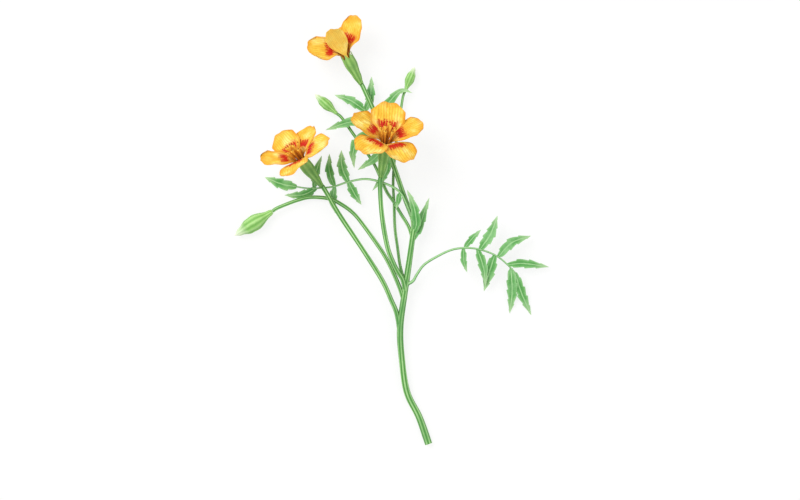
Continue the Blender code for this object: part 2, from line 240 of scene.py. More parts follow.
throat = add_node(tree, "MapRange", {"Value": along, "From Min": 0.10, "From Max": 0.30,
                                     "To Min": 0.75, "To Max": 0.0}).outputs[0]
warm = add_node(tree, "Mix", {0: throat, 6: rimmed, 7: linear("#c4700c")}, data_type="RGBA").outputs[2]
ragged = add_node(tree, "Math", {0: vein, 1: VEIN_SHIFT, 2: along},
                  operation="MULTIPLY_ADD").outputs[0]
shaggy = add_node(tree, "Math", {0: fine, 1: FLECK_SHIFT, 2: ragged},
                  operation="MULTIPLY_ADD").outputs[0]
blotch_out = add_node(tree, "MapRange", {"Value": shaggy, "From Min": BLOTCH_END,
                                         "From Max": BLOTCH_END + 0.08,
                                         "To Min": 1.0, "To Max": 0.0}).outputs[0]
blotch_in = add_node(tree, "MapRange", {"Value": shaggy, "From Min": BLOTCH_START,
                                        "From Max": BLOTCH_START + 0.07}).outputs[0]
blotch_side = add_node(tree, "MapRange", {"Value": width, "From Min": 0.5, "From Max": 0.78,
                                          "To Min": 1.0, "To Max": 0.0}).outputs[0]
blotch = add_node(tree, "Math", {0: blotch_in, 1: blotch_out}, operation="MULTIPLY").outputs[0]
blotch = add_node(tree, "Math", {0: blotch, 1: blotch_side}, operation="MULTIPLY").outputs[0]
marked = add_node(tree, "Mix", {0: blotch, 6: warm, 7: linear("#c71f04")}, data_type="RGBA").outputs[2]
print("blotch length:", round(100 * (BLOTCH_END - BLOTCH_START)), "percent of a petal")

# %% [markdown]
# The two sides meet here. A skin's `under` share is 1 below and 0 above, so it picks the side.

# %% Petal tissue: both sides
UNDER_PALENESS = 0.35
VEIN_RELIEF = 0.15 * MM

pale = add_node(tree, "Mix", {0: UNDER_PALENESS, 6: veined, 7: linear("#f2cf6a")},
                data_type="RGBA").outputs[2]
both = add_node(tree, "Mix", {0: under, 6: marked, 7: pale}, data_type="RGBA").outputs[2]
tree.links.new(both, shader.inputs["Base Color"])
relief = add_node(tree, "Bump", {"Height": wave, "Strength": 0.35, "Distance": VEIN_RELIEF}).outputs[0]
tree.links.new(relief, shader.inputs["Normal"])
print("material:", petal.name)

# %% [markdown]
# ### Disc florets
# The central florets are slender tubes, brown-orange low down and gold at the open mouth, where
# the pollen sits. Pollen grains are far too fine to draw, so a soft speckle stands for them.

# %% Disc floret tissue, powdery
POLLEN_PER_MM = 2.2                # coarser than pollen, so that it can be seen
FINE_RELIEF = 0.1 * MM

# powdery: pollen grains on the lobes leave no highlight at all
floret, tree, shader = start_material("disc_floret_tissue_powdery", 0.75)
along = add_node(tree, "Attribute", attribute_name="along").outputs["Fac"]
where = add_node(tree, "TexCoord").outputs["Object"]
speck = add_node(tree, "TexNoise", {"Vector": where, "Scale": POLLEN_PER_MM / MM,
                                    "Detail": 2.0}).outputs["Fac"]
shade = add_node(tree, "Math", {0: speck, 1: 0.3, 2: along}, operation="MULTIPLY_ADD").outputs[0]
tube = add_node(tree, "ValToRGB", {"Fac": shade},
                stops=[(0.35, "#843f06"), (1.0, "#f3bd45"), (0.7, "#b06412"), (0.95, "#d78c22")])
tree.links.new(tube.outputs["Color"], shader.inputs["Base Color"])
relief = add_node(tree, "Bump", {"Height": speck, "Strength": 0.4, "Distance": FINE_RELIEF}).outputs[0]
tree.links.new(relief, shader.inputs["Normal"])
print("material:", floret.name)

# %% [markdown]
# ### Green parts
# Stems, calyx cups, buds and leaves are the same waxy green tissue, grown in different ways.
# Ribs on a stem catch the light and look pale, and the furrows between them are darker. That light
# and shade is painted into the colour: each green is a ramp read along a share stored on the mesh,
# pale on a rib's crest as a painted highlight and dark in a furrow as painted shade, and tinted by
# large soft patches.
# A leaf has a pale midrib and a pale tip, and darker green beside the midrib.

# %% Waxy green tissues
WAX_ROUGHNESS = 0.48
GRAIN_PER_MM = 1.4                 # groups of cells, seen as a faint grain
GRAIN_SHARE = 0.24


def green_tissue(name, ribs, far, patch_mm, tint, far_share):
    """Ribs is the ramp from furrow to crest, far the colour towards the tip and far_share how
    much of it there is. Tint is the colour of the soft patches, which are patch_mm across."""
    made, tree, shader = start_material(name, WAX_ROUGHNESS)
    rib_light_and_tone = add_node(tree, "Attribute", attribute_name="rib_light_and_tone").outputs["Fac"]
    along = add_node(tree, "Attribute", attribute_name="along").outputs["Fac"]
    where = add_node(tree, "TexCoord").outputs["Object"]
    patch = add_node(tree, "TexNoise", {"Vector": where, "Scale": 1 / (patch_mm * MM),
                                        "Detail": 3.0}).outputs["Fac"]
    grain = add_node(tree, "TexNoise", {"Vector": where, "Scale": GRAIN_PER_MM / MM,
                                        "Detail": 2.0}).outputs["Fac"]
    level = add_node(tree, "Math", {0: grain, 1: GRAIN_SHARE, 2: rib_light_and_tone},
                     operation="MULTIPLY_ADD").outputs[0]
    level = add_node(tree, "Math", {0: level, 1: GRAIN_SHARE / 2}, operation="SUBTRACT").outputs[0]
    # painted highlight and shade: this ramp makes the crests of ribs pale and the furrows and hollows dark
    ribbed = add_node(tree, "ValToRGB", {"Fac": level}, stops=ribs).outputs["Color"]
    soft = add_node(tree, "MapRange", {"Value": patch, "From Min": 0.46, "From Max": 0.72,
                                       "To Max": 0.6}).outputs[0]
    tinted = add_node(tree, "Mix", {0: soft, 6: ribbed, 7: linear(tint)}, data_type="RGBA").outputs[2]
    end = add_node(tree, "MapRange", {"Value": along, "From Min": 0.66, "From Max": 1.0,
                                      "To Max": far_share}).outputs[0]
    pale = add_node(tree, "Mix", {0: end, 6: tinted, 7: linear(far)}, data_type="RGBA").outputs[2]
    tree.links.new(pale, shader.inputs["Base Color"])
    relief = add_node(tree, "Bump", {"Height": grain, "Strength": 0.25, "Distance": FINE_RELIEF}).outputs[0]
    tree.links.new(relief, shader.inputs["Normal"])
    print("material:", made.name)
    return made


# %% [markdown]
# The four greens differ in how far the painted highlight and shade of the ribs stand out and in
# what happens towards the tip: a bud's point is nearly white, a leaf's tip is pale, and a stem
# stays the same all along.

# %% The four greens
# stem: a thin wax over long cells; the soft gleam on the ribs is a painted highlight on their crests
stem_green = green_tissue("stem_tissue_waxy_painted_rib_gleam", [(0.0, "#3f8237"), (1.0, "#a9d392"), (0.5, "#74ad5c")],
                          "#6fa85c", 16.0, "#4f8f4b", 0.05)
# calyx: fused bracts with a warmer, yellower green
calyx_green = green_tissue("calyx_tissue_ribbed", [(0.0, "#4c8236"), (1.0, "#a5cd79"), (0.5, "#7aa955")],
                           "#8fb35c", 6.0, "#5b8c46", 0.4)
# bud: young, thin bracts that let the light in; that light is painted in as a paler, fresher green, and the
# pale crests of the ribs are a painted highlight
bud_green = green_tissue("bud_tissue_ribbed", [(0.0, "#5a9840"), (1.0, "#b9e096"), (0.5, "#8dc268")],
                         "#eef3dc", 7.0, "#6aa44c", 0.95)
# leaf: a thin wax over soft cells, dark beside the midrib and lighter at the edge
leaf_green = green_tissue("leaf_tissue_waxy", [(0.0, "#2a7434"), (1.0, "#c0e2ae"), (0.45, "#60a556")],
                          "#c2deae", 7.0, "#97c98c", 0.75)

# %% [markdown]
# ### Cut pith
# Where a stem was cut, its pale, spongy pith shows, ringed by the green outside. The pores are
# drawn about 0.4 mm apart, coarser than life, so that they can be seen.

# %% Stem pith, cut
PORES_PER_MM = 2.5

# cut: open cells scatter the light and look dull
pith, tree, shader = start_material("stem_pith_cut", 0.8)
where = add_node(tree, "TexCoord").outputs["Object"]
cells = add_node(tree, "TexNoise", {"Vector": where, "Scale": PORES_PER_MM / MM}).outputs["Fac"]
white = add_node(tree, "ValToRGB", {"Fac": cells}, stops=[(0.3, "#c9d9a2"), (0.7, "#eef2d6")])
tree.links.new(white.outputs["Color"], shader.inputs["Base Color"])
print("material:", pith.name)

# %% [markdown]
# ## From rings to meshes
# Every part grows as a closed skin through a row of rings. This builder joins the rings, caps
# the ends, stores the shares that the materials read, and moves the mesh from the plant's
# millimetres into the frame. A part that touches the table is pressed flat against it.

# %% Skin builder
SHARP_ANGLE = 62                   # degrees; folds sharper than this keep a crisp edge


class Skin:
    """Collects lofts for one piece: rings of points, each with its stored shares."""

    shares = ("along", "across", "under", "rib_light_and_tone")

    def __init__(self):
        self.points, self.faces, self.values, self.slots = [], [], [], []

    def loft(self, rings, share, cap_slot=0):
        """share(row, column) gives along, across, under and rib for a point."""
        base, n = len(self.points), len(rings[0])
        for i, ring in enumerate(rings):
            for j, p in enumerate(ring):
                self.points.append((p.x * MM, p.y * MM, max(p.z, 0.0) * MM))
                self.values.append(share(i, j))
        volume = 0.0
        quads = []
        for i in range(len(rings) - 1):
            for j in range(n):
                a, b = base + i * n + j, base + i * n + (j + 1) % n
                quads.append((a, b, b + n, a + n))
        quads.append(tuple(base + j for j in range(n))[::-1])
        quads.append(tuple(base + (len(rings) - 1) * n + j for j in range(n)))
        for face in quads:
            p0 = Vector(self.points[face[0]])
            for k in range(1, len(face) - 1):
                volume += p0.dot(Vector(self.points[face[k]]).cross(Vector(self.points[face[k + 1]])))
        if volume < 0:
            quads = [face[::-1] for face in quads]
        self.faces += quads
        self.slots += [0] * (len(quads) - 2) + [cap_slot, 0]

    def piece(self, name, node, slot, *looks):
        data = bpy.data.meshes.new(name)
        data.from_pydata([Vector(p) + CUT_END for p in self.points], [], self.faces)
        for k, share in enumerate(self.shares):
            layer = data.attributes.new(share, "FLOAT", "POINT")
            layer.data.foreach_set("value", [v[k] for v in self.values])
        for look in looks:
            data.materials.append(look)
        data.polygons.foreach_set("material_index", self.slots)
        data.shade_smooth()
        data.set_sharp_from_angle(angle=math.radians(SHARP_ANGLE))
        made = bpy.data.objects.new(name, data)
        bpy.context.scene.collection.objects.link(made)
        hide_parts(node)
        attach(made, "root")


print("shares stored on every skin:", ", ".join(Skin.shares))


# %% [markdown]
# ## Flower heads and buds: where they point
# A head is a calyx cup on its stalk, and everything in it is placed around the cup's axis. The
# heading turns the axis on the table and the lift raises it. The heads lie at different angles:
# one shows its face, one is half turned, and the top one is seen from the side.

# %% Head axes
SEAT = 0.3                         # gap between a cup and the end of its stalk
NECK = 4.0                         # straight end of a stalk, in line with its cup


class Head:
    """Axis and place of a flower head or bud."""

    def __init__(self, foot, heading, lift, length):
        self.foot, self.length = Vector(foot), length
        turn, rise = math.radians(heading), math.radians(lift)
        self.axis = Vector((math.cos(turn) * math.cos(rise), math.sin(turn) * math.cos(rise),
                            math.sin(rise)))
        self.right = self.axis.cross(Vector((0, 0, 1))).normalized()
        self.up = self.right.cross(self.axis)
        self.mouth = self.foot + length * self.axis

    def out(self, azimuth):
        a = math.radians(azimuth)
        return math.cos(a) * self.right + math.sin(a) * self.up

    def around(self, azimuth):
        a = math.radians(azimuth)
        return math.cos(a) * self.up - math.sin(a) * self.right

    def neck(self):
        """The last two points of the stalk, in line with the cup."""
        return [self.foot - NECK * self.axis, self.foot - SEAT * self.axis]


HEADS = {
    "middle": Head((-27.5, 154.5, 14.5), 81, 33, 22),
    "left": Head((-62, 149.5, 8.6), 127.5, 33, 21),
    "upper": Head((-39, 208, 10.45), 118, 12, 18),
}
BUDS = {
    "low": (Head((-90.5, 134.5, 4.6), 212.5, -2, 26), 4.5),
    "side": (Head((-53, 191, 5.6), 138.5, -8, 17.5), 2.9),
    "top": (Head((-13.5, 204.5, 3.6), 68.5, -2, 15), 2.6),
}
print("heads:", ", ".join(HEADS), "- buds:", ", ".join(BUDS))

# %% [markdown]
# ## Stems and stalks
# A marigold stem is ribbed lengthwise, and a branch swells where it leaves the stem. A plain
# tube with a bark texture would look like wire, so the ribs are in the mesh: the radius rises
# and falls a few hundredths round the stem, and the ribs drift slowly along it.

# %% Ribbed stalks
STALK_STEP = 1.2                   # mm between rings
STALK_SIDES = 30
RIB_DEPTH = 0.07                   # share of the radius
RIB_DRIFT = 0.012                  # radians per mm
NODE_SWELL, NODE_REACH = 0.28, 3.0     # share of the radius, and mm along the stalk
UNEVEN, UNEVEN_LENGTH = 0.02, 5.0      # slow change in thickness


def stalk(name, points, start_r, end_r, ribs=5, swell=NODE_SWELL):
    route = smooth_route(points, step=STALK_STEP)
    run = lengths(route)
    rings, ridge = [], []
    for (p, side, up), s, r in zip(frames(route), run, tapered(run, start_r, end_r)):
        r *= 1 + swell * math.exp(-s / NODE_REACH) + UNEVEN * math.sin(s / UNEVEN_LENGTH)
        ring, row = [], []
        for k in range(STALK_SIDES):
            a = 2 * math.pi * k / STALK_SIDES
            crest = math.cos(ribs * (a + RIB_DRIFT * s))
            crest = math.copysign(abs(crest) ** 0.7, crest)
            ring.append(p + r * (1 + RIB_DEPTH * crest) * (math.cos(a) * side + math.sin(a) * up))
            # painted highlight and shade: pale on the crest of a rib, dark in a furrow
            row.append(0.5 + 0.5 * crest)
        rings.append(ring)
        ridge.append(row)
    skin = Skin()
    skin.loft(rings, lambda i, j: (0.55 * run[i] / run[-1], 0.0, 0.0, ridge[i][j]), cap_slot=1)
    skin.piece(f"{name}_ribbed", name, "stem", stem_green, pith)
    print(f"{name}: {run[-1]:.0f} mm long, {2 * start_r:.1f} to {2 * end_r:.1f} mm thick")


stalk("main_stem", STEM, *STEM_R, ribs=6, swell=0.0)

# %% [markdown]
# Six branches leave the main stem. Three carry the open heads and three carry buds. Each ends in
# line with its cup, so its last two points come from the head.

# %% The six branches
stalk("flower_stalk_left",
      [(-16.5, 64, 4.8), (-18.5, 75.5, 6), (-21.5, 83, 6.6), (-27, 95, 7), (-38, 112.5, 7),
       (-51.5, 132.5, 6.8), *HEADS["left"].neck()], 1.35, 1.3)
stalk("flower_stalk_middle",
      [(-13.6, 89, 6.6), (-15, 95, 8.4), (-18, 100, 10.2), (-20.5, 105, 11), (-23.5, 113, 11.6),
       (-26, 125.5, 12), (-27.5, 138.5, 12), *HEADS["middle"].neck()], 1.35, 1.3)
stalk("flower_stalk_upper",
      [(-8.7, 124.5, 7.5), (-9.1, 129.5, 7.4), (-11, 135, 7), (-13.7, 142, 6.5),
       (-20.5, 161.5, 6.2), (-24.5, 172.5, 6.6), (-29.5, 187.5, 8.2), *HEADS["upper"].neck()],
      1.4, 1.3)
stalk("bud_stalk_low",
      [(-14.3, 83, 6.2), (-17.2, 91.5, 6.2), (-20.6, 99.5, 6.4), (-23.8, 106, 6.2),
       (-28, 113, 5.8), (-38, 127, 4.2), (-44, 134, 3.5), (-51, 139, 3.2), (-57.5, 142, 3.1),
       (-68, 142.8, 3.3), (-76, 141, 3.8), *BUDS["low"][0].neck()], 1.2, 1.0)
stalk("bud_stalk_top",
      [(-13.1, 93, 6.8), (-15.2, 98, 5.2), (-16.8, 104.5, 4), (-18, 113.5, 3.2),
       (-19.5, 125, 2.7), (-20, 139.5, 2.5), (-20.5, 153, 2.4), (-19, 173, 2.6),
       (-16.5, 191, 3.2), *BUDS["top"][0].neck()], 0.85, 0.75)
stalk("bud_stalk_side",
      [(-9.4, 119, 7.4), (-11.8, 126, 6.9), (-16, 133, 6), (-20.2, 140, 5.4), (-24, 145.5, 4.8),
       (-27, 152, 4.3), (-31, 161, 4.1), (-37, 170.5, 4.6), (-43, 178.5, 5.4),
       *BUDS["side"][0].neck()], 0.95, 0.85)

# %% [markdown]
# ## Calyx cups
# The calyx of a marigold is one cup of fused green bracts. Their free tips make a ring of small
# teeth at the mouth, and their joints show as ribs. The cup is turned from a profile and then
# ribbed and toothed. Its inside wall goes down to hold the florets.

# %% Calyx cups
CUP_TEETH = 7
CUP_WALL = 0.45
CUP_SIDES, CUP_ROWS = 84, 34
TOOTH_RISE = 1.5                   # mm that a tooth stands above the mouth
TEETH_FROM = 0.86                  # share of the cup's length at which the teeth start


def profile_radius(profile, height):
    for (h0, r0), (h1, r1) in zip(profile, profile[1:]):
        if height <= h1:
            t = (height - h0) / (h1 - h0)
            t = t * t * (3 - 2 * t)
            return r0 + (r1 - r0) * t
    return profile[-1][1]


def calyx(where, head):
    n = head.length
    outer = [(0.0, 1.5), (0.3 * n, 2.55), (0.72 * n, 3.7), (n, 3.45)]
    rings, marks = [], []
    heights = [n * k / CUP_ROWS for k in range(CUP_ROWS + 1)]
    inner = [n - deep for deep in (0.1, 1.2, 2.6, 4.0)]
    for step, h in enumerate(heights + inner):
        ring, row = [], []
        inside = step > CUP_ROWS
        for k in range(CUP_SIDES):
            a = 2 * math.pi * k / CUP_SIDES
            crest = math.cos(CUP_TEETH * a)
            point = TOOTH_RISE * (1 - abs(math.sin(CUP_TEETH * a / 2)) * 2)
            point *= max(0.0, (h / n - TEETH_FROM) / (1 - TEETH_FROM))
            radius = profile_radius(outer, h) * (1 + 0.035 * crest * min(1.0, 3 * h / n))
            radius = radius - CUP_WALL if inside else radius
            ring.append(head.foot + (h + point) * head.axis + radius * head.out(math.degrees(a)))
            # painted light: the rib crests are paler as a painted highlight, and the inside wall is darker
            # as painted shade in the cup
            row.append(0.25 if inside else 0.5 + 0.26 * crest)
        rings.append(ring)
        marks.append(row)
    skin = Skin()
    skin.loft(rings, lambda i, j: (min(1.0, i / CUP_ROWS), 0.0, 0.0, marks[i][j]))
    skin.piece(f"calyx_{where}_toothed", f"calyx_{where}", "calyx", calyx_green)


for where, head in HEADS.items():
    calyx(where, head)
print("cups made:", len(HEADS))

# %% [markdown]
# ## Buds
# A bud is the same cup still closed over its petals, with a pale point. It is a turned shape
# too: widest a little below its middle, drawn in to the tip, with ribs that wind slightly.

# %% Buds
BUD_RIBS = 8
BUD_WIND = 1.2                     # radians that the ribs wind from foot to tip
BUD_SIDES, BUD_ROWS = 64, 40


def bud(where, head, radius):
    profile = [(0.0, 0.30), (0.06, 0.40), (0.45, 1.0), (0.62, 0.93), (0.85, 0.48), (1.0, 0.05)]
    rings, marks = [], []
    for i in range(BUD_ROWS + 1):
        u = i / BUD_ROWS
        ring, row = [], []
        for k in range(BUD_SIDES):
            a = 2 * math.pi * k / BUD_SIDES
            crest = math.cos(BUD_RIBS * a + BUD_WIND * u)
            r = radius * profile_radius(profile, u) * (1 + 0.05 * crest * math.sin(math.pi * u))
            ring.append(head.foot + u * head.length * head.axis + r * head.out(math.degrees(a)))
            # painted highlight and shade: the crests of the ribs are paler and the furrows darker
            row.append(0.55 + 0.3 * crest)
        rings.append(ring)
        marks.append(row)
    skin = Skin()
    skin.loft(rings, lambda i, j: (i / BUD_ROWS, 0.0, 0.0, marks[i][j]))
    skin.piece(f"bud_{where}_ribbed", f"bud_{where}", "bud", bud_green)


for where, (head, radius) in BUDS.items():
    bud(where, head, radius)
print("buds made:", len(BUDS))

# %% [markdown]
# ## How a petal bends
# A petal is a thin sheet: a narrow claw down in the cup, then a broad blade that bends away from
# the axis. Its midline is found by walking along it in small steps. The lean stays at zero
# inside the cup and then grows to the opening angle about halfway along the blade.

# %% The midline of a petal
CLAW_RADIUS = 2.5                  # ring on which the claws stand
CUP_DEPTH = 3.7                    # how deep they stand in the cup
FIRST_LEAN, LEAN_RATE, LEAN_CURVE = 0.15, 1.35, 0.7
PATH_STEPS = 30


def petal_path(opening, length, s):
    """Radius, height and lean of a petal's midline at distance s from the foot of its claw."""
    radius, height, lean = CLAW_RADIUS, -CUP_DEPTH, 0.0
    for k in range(PATH_STEPS):
        run = s * (k + 0.5) / PATH_STEPS
        if run > CUP_DEPTH:
            free = (run - CUP_DEPTH) / length
            lean = math.radians(opening) * min(1.0, FIRST_LEAN + LEAN_RATE * free ** LEAN_CURVE)
        radius += math.sin(lean) * s / PATH_STEPS
        height += math.cos(lean) * s / PATH_STEPS
    return radius, height, lean


print("tip of a petal opened 60 degrees, radius and height in mm:",
      [round(v, 1) for v in petal_path(60, 22, CUP_DEPTH + 22)[:2]])

# %% [markdown]
# ## Ray florets
# The blade's end is blunt with shallow notches, and its edge ruffles because it grew faster than
# its middle. A plane with a cloth simulation could give ruffles. Here they are waves added along
# the sheet's own normal, because then they grow towards the tip exactly as far as they should.

# %% Petal sheets
CLAW_HALF_WIDTH = 0.9
SHEET = 0.24                       # thickness at the middle
PETAL_ROWS, PETAL_COLUMNS = 40, 37
END_TAPER = 0.24                   # share of the width lost over the last fifth
CORNER, NOTCH = 0.09, 0.012        # shares of the length by which the end falls back
CUPPING = 0.10
RUFFLE, FLUTTER, PLEAT = 0.9, 0.45, 0.16   # mm


def petal_half_width(free, width):
    grow = min(1.0, max(0.0, (free - 0.05) / 0.5))
    half = CLAW_HALF_WIDTH + (0.5 * width - CLAW_HALF_WIDTH) * math.sin(0.5 * math.pi * grow) ** 1.2
    return half * (1.0 - END_TAPER * max(0.0, (free - 0.8) / 0.2) ** 2)


def petal_lift(free, v, half, phases):
    """How far the sheet stands off its flat middle: cupping, ruffles and pleats."""
    ruffle = RUFFLE * free ** 2 * abs(v) ** 1.5 * math.sin(9 * free + 2.2 * v + phases[0])
    ruffle += FLUTTER * free ** 2 * math.sin(5.5 * v + phases[1])
    pleat = PLEAT * math.sin(math.pi * min(1.0, free * 1.1)) * math.cos(17 * v + phases[2])
    return CUPPING * half * v * v * free + ruffle + pleat


def ray(where, number, head, azimuth, opening, length, width, turn):
    rng = random.Random(f"{where}{number}")
    phases = [rng.uniform(0, 2 * math.pi) for _ in range(4)]
    out, around = head.out(azimuth), head.around(azimuth)
    rings, marks = [], []
    for i in range(PETAL_ROWS + 3):
        free = max(0.0, (i - 2) / PETAL_ROWS)
        sunk = min(1.0, i / 2)
        half = petal_half_width(free, width)
        twist = math.radians(turn) * min(1.0, free / 0.4)
        top, bottom, row = [], [], []
        for k in range(PETAL_COLUMNS):
            v = 2 * k / (PETAL_COLUMNS - 1) - 1
            notch = NOTCH * (1 - math.cos(2.4 * math.pi * v + phases[3])) * free ** 6
            back = CORNER * (v * v + v ** 6) * free ** 3 + notch
            s = sunk * CUP_DEPTH + length * (free - back)
            radius, height, lean = petal_path(opening, length, s)
            flat = math.cos(lean) * -out + math.sin(lean) * head.axis
            broad = math.cos(twist) * around + math.sin(twist) * flat
            face = math.cos(twist) * flat - math.sin(twist) * around
            middle = head.mouth + height * head.axis + radius * out + v * half * broad
            middle = middle + petal_lift(free, v, half, phases) * face
            thick = SHEET * (0.45 + 0.55 * (1 - abs(v) ** 4) * (1 - free ** 8))
            top.append(middle + 0.5 * thick * face)
            bottom.append(middle - 0.5 * thick * face)
            row.append((free, v))
        rings.append(top + bottom[::-1])
        marks.append([(f, v, 0.0, 0.0) for f, v in row] + [(f, v, 1.0, 0.0) for f, v in row[::-1]])
    skin = Skin()
    skin.loft(rings, lambda i, j: marks[i][j])
    node = f"ray_{where}_{number}"
    skin.piece(f"{node}_petal", node, "ray", petal)


print("points round a petal's section:", 2 * PETAL_COLUMNS)

# %% [markdown]
# Each head has five petals. The middle head shows its face, so its lower petals open past a
# right angle. In the top head two petals are turned about their own length and show their faces.

# %% The fifteen petals
# azimuth around the axis (0 right, 90 up), opening from the axis, length, width, turn;
# angles in degrees, lengths in mm
RAYS = {
    "middle": [(193, 70, 24, 20, 0), (-97, 54, 24, 20, 0), (-18, 64, 23, 19.5, 0),
               (51, 106, 22, 20, 0), (126, 100, 22, 20, 0)],
    "left": [(188, 57, 23, 16, 0), (-96, 65, 22, 16, 0), (-40, 84, 21, 15, 0),
             (32, 90, 22, 18, 0), (114, 82, 22, 18.5, 0)],
    "upper": [(4, 44, 23, 15.5, -48), (98, 28, 21, 11.5, 0), (166, 54, 23, 16.5, 55),
              (-142, 76, 21, 15, 0), (-74, 58, 22, 14, 0)],
}
for where, rays in RAYS.items():
    for number, shape in enumerate(rays, 1):
        ray(where, number, HEADS[where], *shape)
print("petals made:", sum(len(rays) for rays in RAYS.values()))

# %% [markdown]
# ## Disc florets
# The centre of a single marigold is a tuft of slender tubular florets that fan out from the cup.
# Each opens into five little lobes, and from its mouth stands a dark column tipped with pollen.
# They all grow from one receptacle, which the cup hides.

# %% Tufts of florets
FLORET_ROWS = 18
FLORET_LOBES = 5
FLORET_STEP = 24                   # degrees between points round a tube
RECEPTACLE_R = 2.0
# count, radius at the foot, radius at the top, height above the cup's mouth
FLORET_RINGS = ((3, 0.55, 1.6, 11.5), (8, 1.55, 4.1, 9.6))
# height above the tube's mouth, radius
POLLEN_COLUMN = ((-0.4, 0.2), (0.7, 0.2), (1.3, 0.3), (1.7, 0.12))


def disc_florets(where, head):
    rng = random.Random(where)
    skin = Skin()
    base = head.length - CUP_DEPTH
    skin.loft([[head.foot + (base + h) * head.axis + RECEPTACLE_R * head.out(30 * k) for k in range(12)]
               for h in (0.0, 1.0)], lambda i, j: (0.0, 0.0, 0.0, 0.0))
    for count, foot, top, height in FLORET_RINGS:
        for k in range(count):
            azimuth = 360 * (k + 0.25) / count + rng.uniform(-9, 9)
            tall = height * rng.uniform(0.86, 1.06)
            bow = rng.uniform(0.2, 0.9)
            out = head.out(azimuth)
            rings = []
            for i in range(FLORET_ROWS + 1):
                u = i / FLORET_ROWS
                spread = foot + (top - foot) * u * u + bow * math.sin(math.pi * u)
                rise = -CUP_DEPTH + 0.5 + (CUP_DEPTH + tall) * u
                centre = head.mouth + rise * head.axis + spread * out
                r = 0.34 + 0.1 * math.sin(math.pi * u) + 0.5 * max(0.0, (u - 0.78) / 0.22) ** 1.6
                ring = []
                for turn in range(0, 360, FLORET_STEP):
                    lobe = math.cos(math.radians(FLORET_LOBES * turn))
                    flare = 1 + 0.32 * max(0.0, (u - 0.8) / 0.2) * lobe
                    ring.append(centre + r * flare * head.out(turn))
                rings.append(ring)
            skin.loft(rings, lambda i, j: (0.2 + 0.8 * (i / FLORET_ROWS), 0.0, 0.0, 0.0))
            tip = rings[-1][0].lerp(rings[-1][7], 0.5)
            lean = (0.8 * head.axis + 0.35 * out).normalized()
            column = [[tip + h * lean + r * head.out(60 * j) for j in range(6)]
                      for h, r in POLLEN_COLUMN]
            skin.loft(column, lambda i, j: (0.25 + 0.2 * i, 0.0, 0.0, 0.0))
    node = f"disc_florets_{where}"
    skin.piece(f"{node}_tuft", node, "floret", floret)


for where, head in HEADS.items():
    disc_florets(where, head)
print("floret tufts made:", len(HEADS))

# %% [markdown]
# ## Leaves
# A marigold leaf is feathered: toothed leaflets stand along a thin leaf stalk. A leaflet is
# narrow at its foot, widest below the middle and pointed, and its teeth lean towards the tip.
# The blade is folded a little along its pale midrib and waves along its length. The outline,
# fold and teeth are all in the mesh, as one closed thin sheet for each leaflet.

# %% Leaflet sheets
BLADE = 0.34                       # thickness
LEAFLET_STEP = 0.45                # mm between sections
FOLD = 0.22                        # rise of the edge per mm of half width
MIDRIB = 0.1                       # share of the half width
FOOT_HALF_WIDTH, TIP_HALF_WIDTH = 0.42, 0.07
WIDTH_AT_TOOTH, TOOTH_CUT = 1.16, 0.34
SIDE_OFFSETS = (0.0, 0.35)         # so that the teeth of the two edges don't face each other
WAVE = 0.12
COLUMNS = [-1.0, -0.82, -0.5, -0.2, -0.07, 0.07, 0.2, 0.5, 0.82, 1.0]


def leaflet(skin, points, width, teeth, seed):
    rng = random.Random(seed)
    phase, slant = rng.uniform(0, 6.3), rng.uniform(-0.25, 0.25)
    route = smooth_route(points, step=LEAFLET_STEP)
    run = lengths(route)
    rings, marks = [], []
    for (p, side, up), s in zip(frames(route), run):
        u = s / run[-1]
        blade = math.sin(math.pi * min(1.0, 0.05 + 0.95 * u) ** 0.8) ** 0.85 if u < 1 else 0.0
        edges = []
        for offset in SIDE_OFFSETS:
            saw = (u * (teeth + 0.6) + offset + phase) % 1.0
            edges.append(max(0.5 * width * blade * (WIDTH_AT_TOOTH - TOOTH_CUT * saw),
                             FOOT_HALF_WIDTH if u < 0.18 else TIP_HALF_WIDTH))
        lean = slant * math.sin(2.4 * u + phase)
        across = math.cos(lean) * side + math.sin(lean) * up
        normal = math.cos(lean) * up - math.sin(lean) * side
        top, bottom, row = [], [], []
        for v in COLUMNS:
            half = edges[0] if v < 0 else edges[1]
            wave = WAVE * half * math.sin(7 * u + 2 * v + phase) * abs(v)
            middle = p + v * half * across + (FOLD * abs(v) * half + wave) * normal
            on_midrib = abs(v) < MIDRIB
            thick = BLADE * (1.25 if on_midrib else 1.0 - 0.6 * abs(v) ** 3) * (1 - 0.6 * u ** 4)
            top.append(middle + 0.5 * thick * normal)
            bottom.append(middle - 0.5 * thick * normal)
            pale = 0.72 if on_midrib else 0.2 + 0.45 * abs(v)
            row.append((0.35 + 0.65 * u ** 1.5, v, pale + 0.12 * noise.noise(p * 0.2)))
        rings.append(top + bottom[::-1])
        marks.append([(a, v, 0.0, r) for a, v, r in row] + [(a, v, 1.0, r) for a, v, r in row[::-1]])
    skin.loft(rings, lambda i, j: marks[i][j])


print("points across one side of a leaflet:", len(COLUMNS))

# %% [markdown]
# ## The three long leaves
# One skin holds a whole leaf: the leaf stalk first, thick at its foot, and then every leaflet.
# The places of the leaflets are given one by one, because no two leaves of a plant are the same.

# %% Long leaves
RACHIS_R = 0.8                     # radius of the leaf stalk
RACHIS_TAPER = 0.45
RACHIS_SWELL, RACHIS_REACH = 0.5, 2.5      # share of the radius, and mm along the leaf stalk


